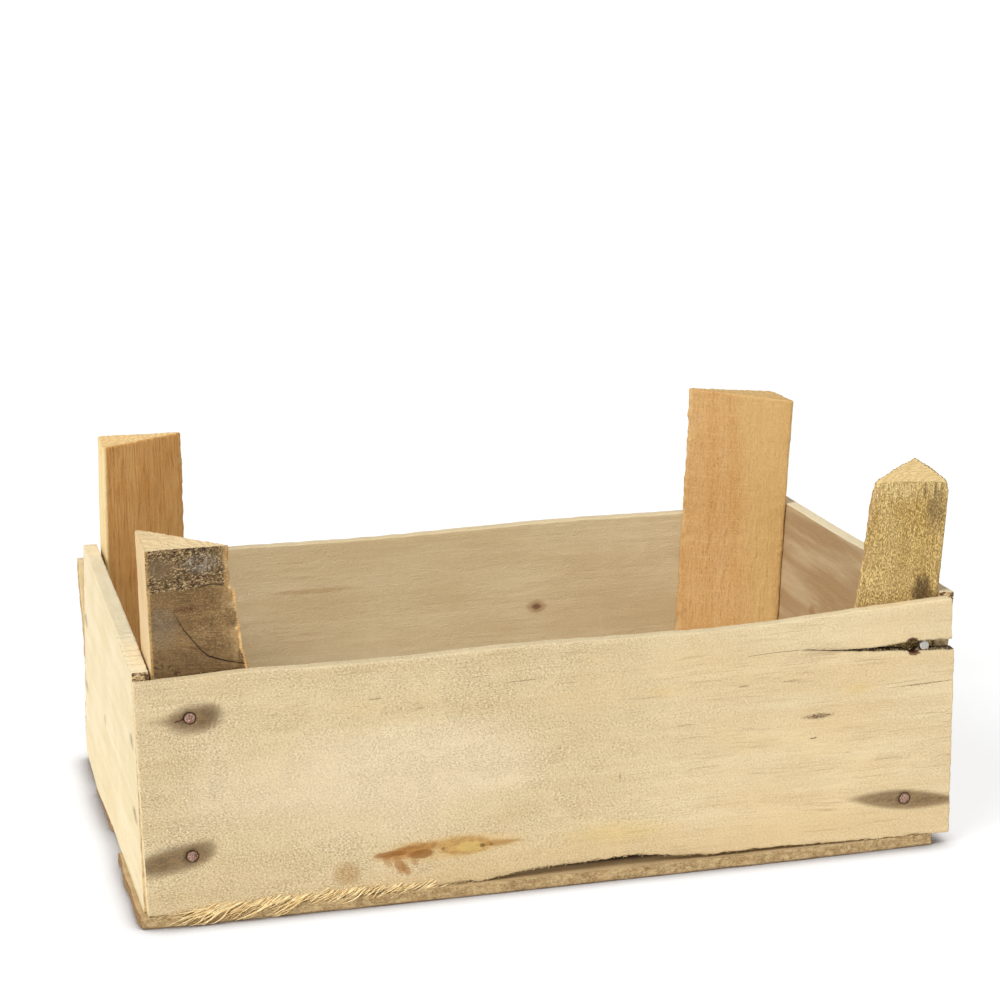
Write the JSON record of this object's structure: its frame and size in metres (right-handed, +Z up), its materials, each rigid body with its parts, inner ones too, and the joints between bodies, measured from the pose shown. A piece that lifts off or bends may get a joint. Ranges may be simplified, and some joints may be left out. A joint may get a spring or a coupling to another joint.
{
  "type": "wooden apple crate",
  "caption": "Small open crate of thin sawn boards nailed to three-cornered corner posts that stand above the sides, with a slatted bottom.",
  "frame": {"origin": "centre of the crate's bounding box, at the underside of the bottom slats", "axes": "+X along the length towards the leaning right end, +Y from the front board to the back board, +Z up"},
  "size_m": [0.2838, 0.185, 0.1311],
  "materials": {
    "pale_board": "rough sawn, straw yellow, with rust stains round the nails",
    "cream_board": "rough sawn, pale cream",
    "grey_post": "weathered grey-brown, cracked, with pale end grain",
    "golden_post": "rough sawn, golden yellow",
    "tan_post": "rough sawn, tan",
    "slat_wood": "rough sawn, mottled brown",
    "nail_steel": "rusted steel wire nail"
  },
  "bodies": {
    "root": {"front_board": "pale_board", "back_board": "pale_board", "left_end_board": "cream_board", "right_end_board": "cream_board", "post_front_left": "grey_post", "post_front_right": "golden_post", "post_back_left": "tan_post", "post_back_right": "tan_post", "bottom_slat_front": "slat_wood", "bottom_slat_middle": "slat_wood", "bottom_slat_back": "slat_wood", "front_board_nails": "nail_steel", "back_board_nails": "nail_steel", "left_end_nails": "nail_steel", "right_end_nails": "nail_steel", "bottom_slat_nails": "nail_steel"}
  },
  "joints": []
}
